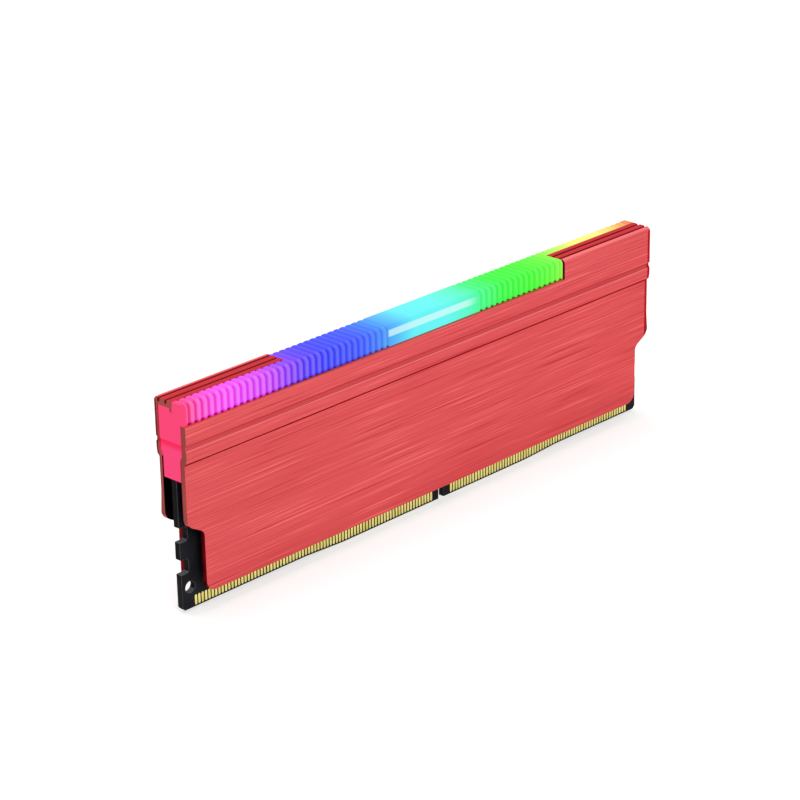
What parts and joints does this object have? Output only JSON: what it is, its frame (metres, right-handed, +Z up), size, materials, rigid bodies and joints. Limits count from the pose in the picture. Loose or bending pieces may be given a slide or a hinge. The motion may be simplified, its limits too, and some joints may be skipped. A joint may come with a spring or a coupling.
{
  "type": "memory module heat spreader with light bar",
  "caption": "Two ribbed aluminium covers clamp a memory module; a ribbed translucent light guide runs along the top.",
  "frame": {"origin": "under the middle of the module, on the lowest edge of its board", "axes": "+X along the module, +Y through it from the front cover to the rear cover, +Z up to the light guide"},
  "size_m": [0.134, 0.0086, 0.043],
  "materials": {
    "red_aluminium": "brushed along the length, red anodised",
    "frosted_plastic": "translucent, moulded ribs",
    "strip_board": "white solder mask",
    "led_package": "satin",
    "circuit_board": "black solder mask",
    "gold_contacts": "gold plated",
    "chip_package": "moulded",
    "thermal_pad": "soft, matt",
    "resistor_body": "glazed top"
  },
  "bodies": {
    "root": {"front_cover": "red_aluminium", "rear_cover": "red_aluminium", "light_guide": "frosted_plastic", "led_strip_board": "strip_board", "led_01": "led_package", "led_02": "led_package", "led_03": "led_package", "led_04": "led_package", "led_05": "led_package", "led_06": "led_package", "led_07": "led_package", "led_08": "led_package", "led_09": "led_package", "led_10": "led_package", "led_11": "led_package", "led_12": "led_package", "memory_board": "circuit_board", "front_contacts": "gold_contacts", "rear_contacts": "gold_contacts", "front_memory_chip_1": "chip_package", "front_memory_chip_2": "chip_package", "front_memory_chip_3": "chip_package", "front_memory_chip_4": "chip_package", "front_memory_chip_5": "chip_package", "front_memory_chip_6": "chip_package", "front_memory_chip_7": "chip_package", "front_memory_chip_8": "chip_package", "rear_memory_chip_1": "chip_package", "rear_memory_chip_2": "chip_package", "rear_memory_chip_3": "chip_package", "rear_memory_chip_4": "chip_package", "rear_memory_chip_5": "chip_package", "rear_memory_chip_6": "chip_package", "rear_memory_chip_7": "chip_package", "rear_memory_chip_8": "chip_package", "front_thermal_pad": "thermal_pad", "rear_thermal_pad": "thermal_pad", "serial_data_chip": "chip_package", "front_resistor_arrays": "resistor_body"}
  },
  "joints": []
}
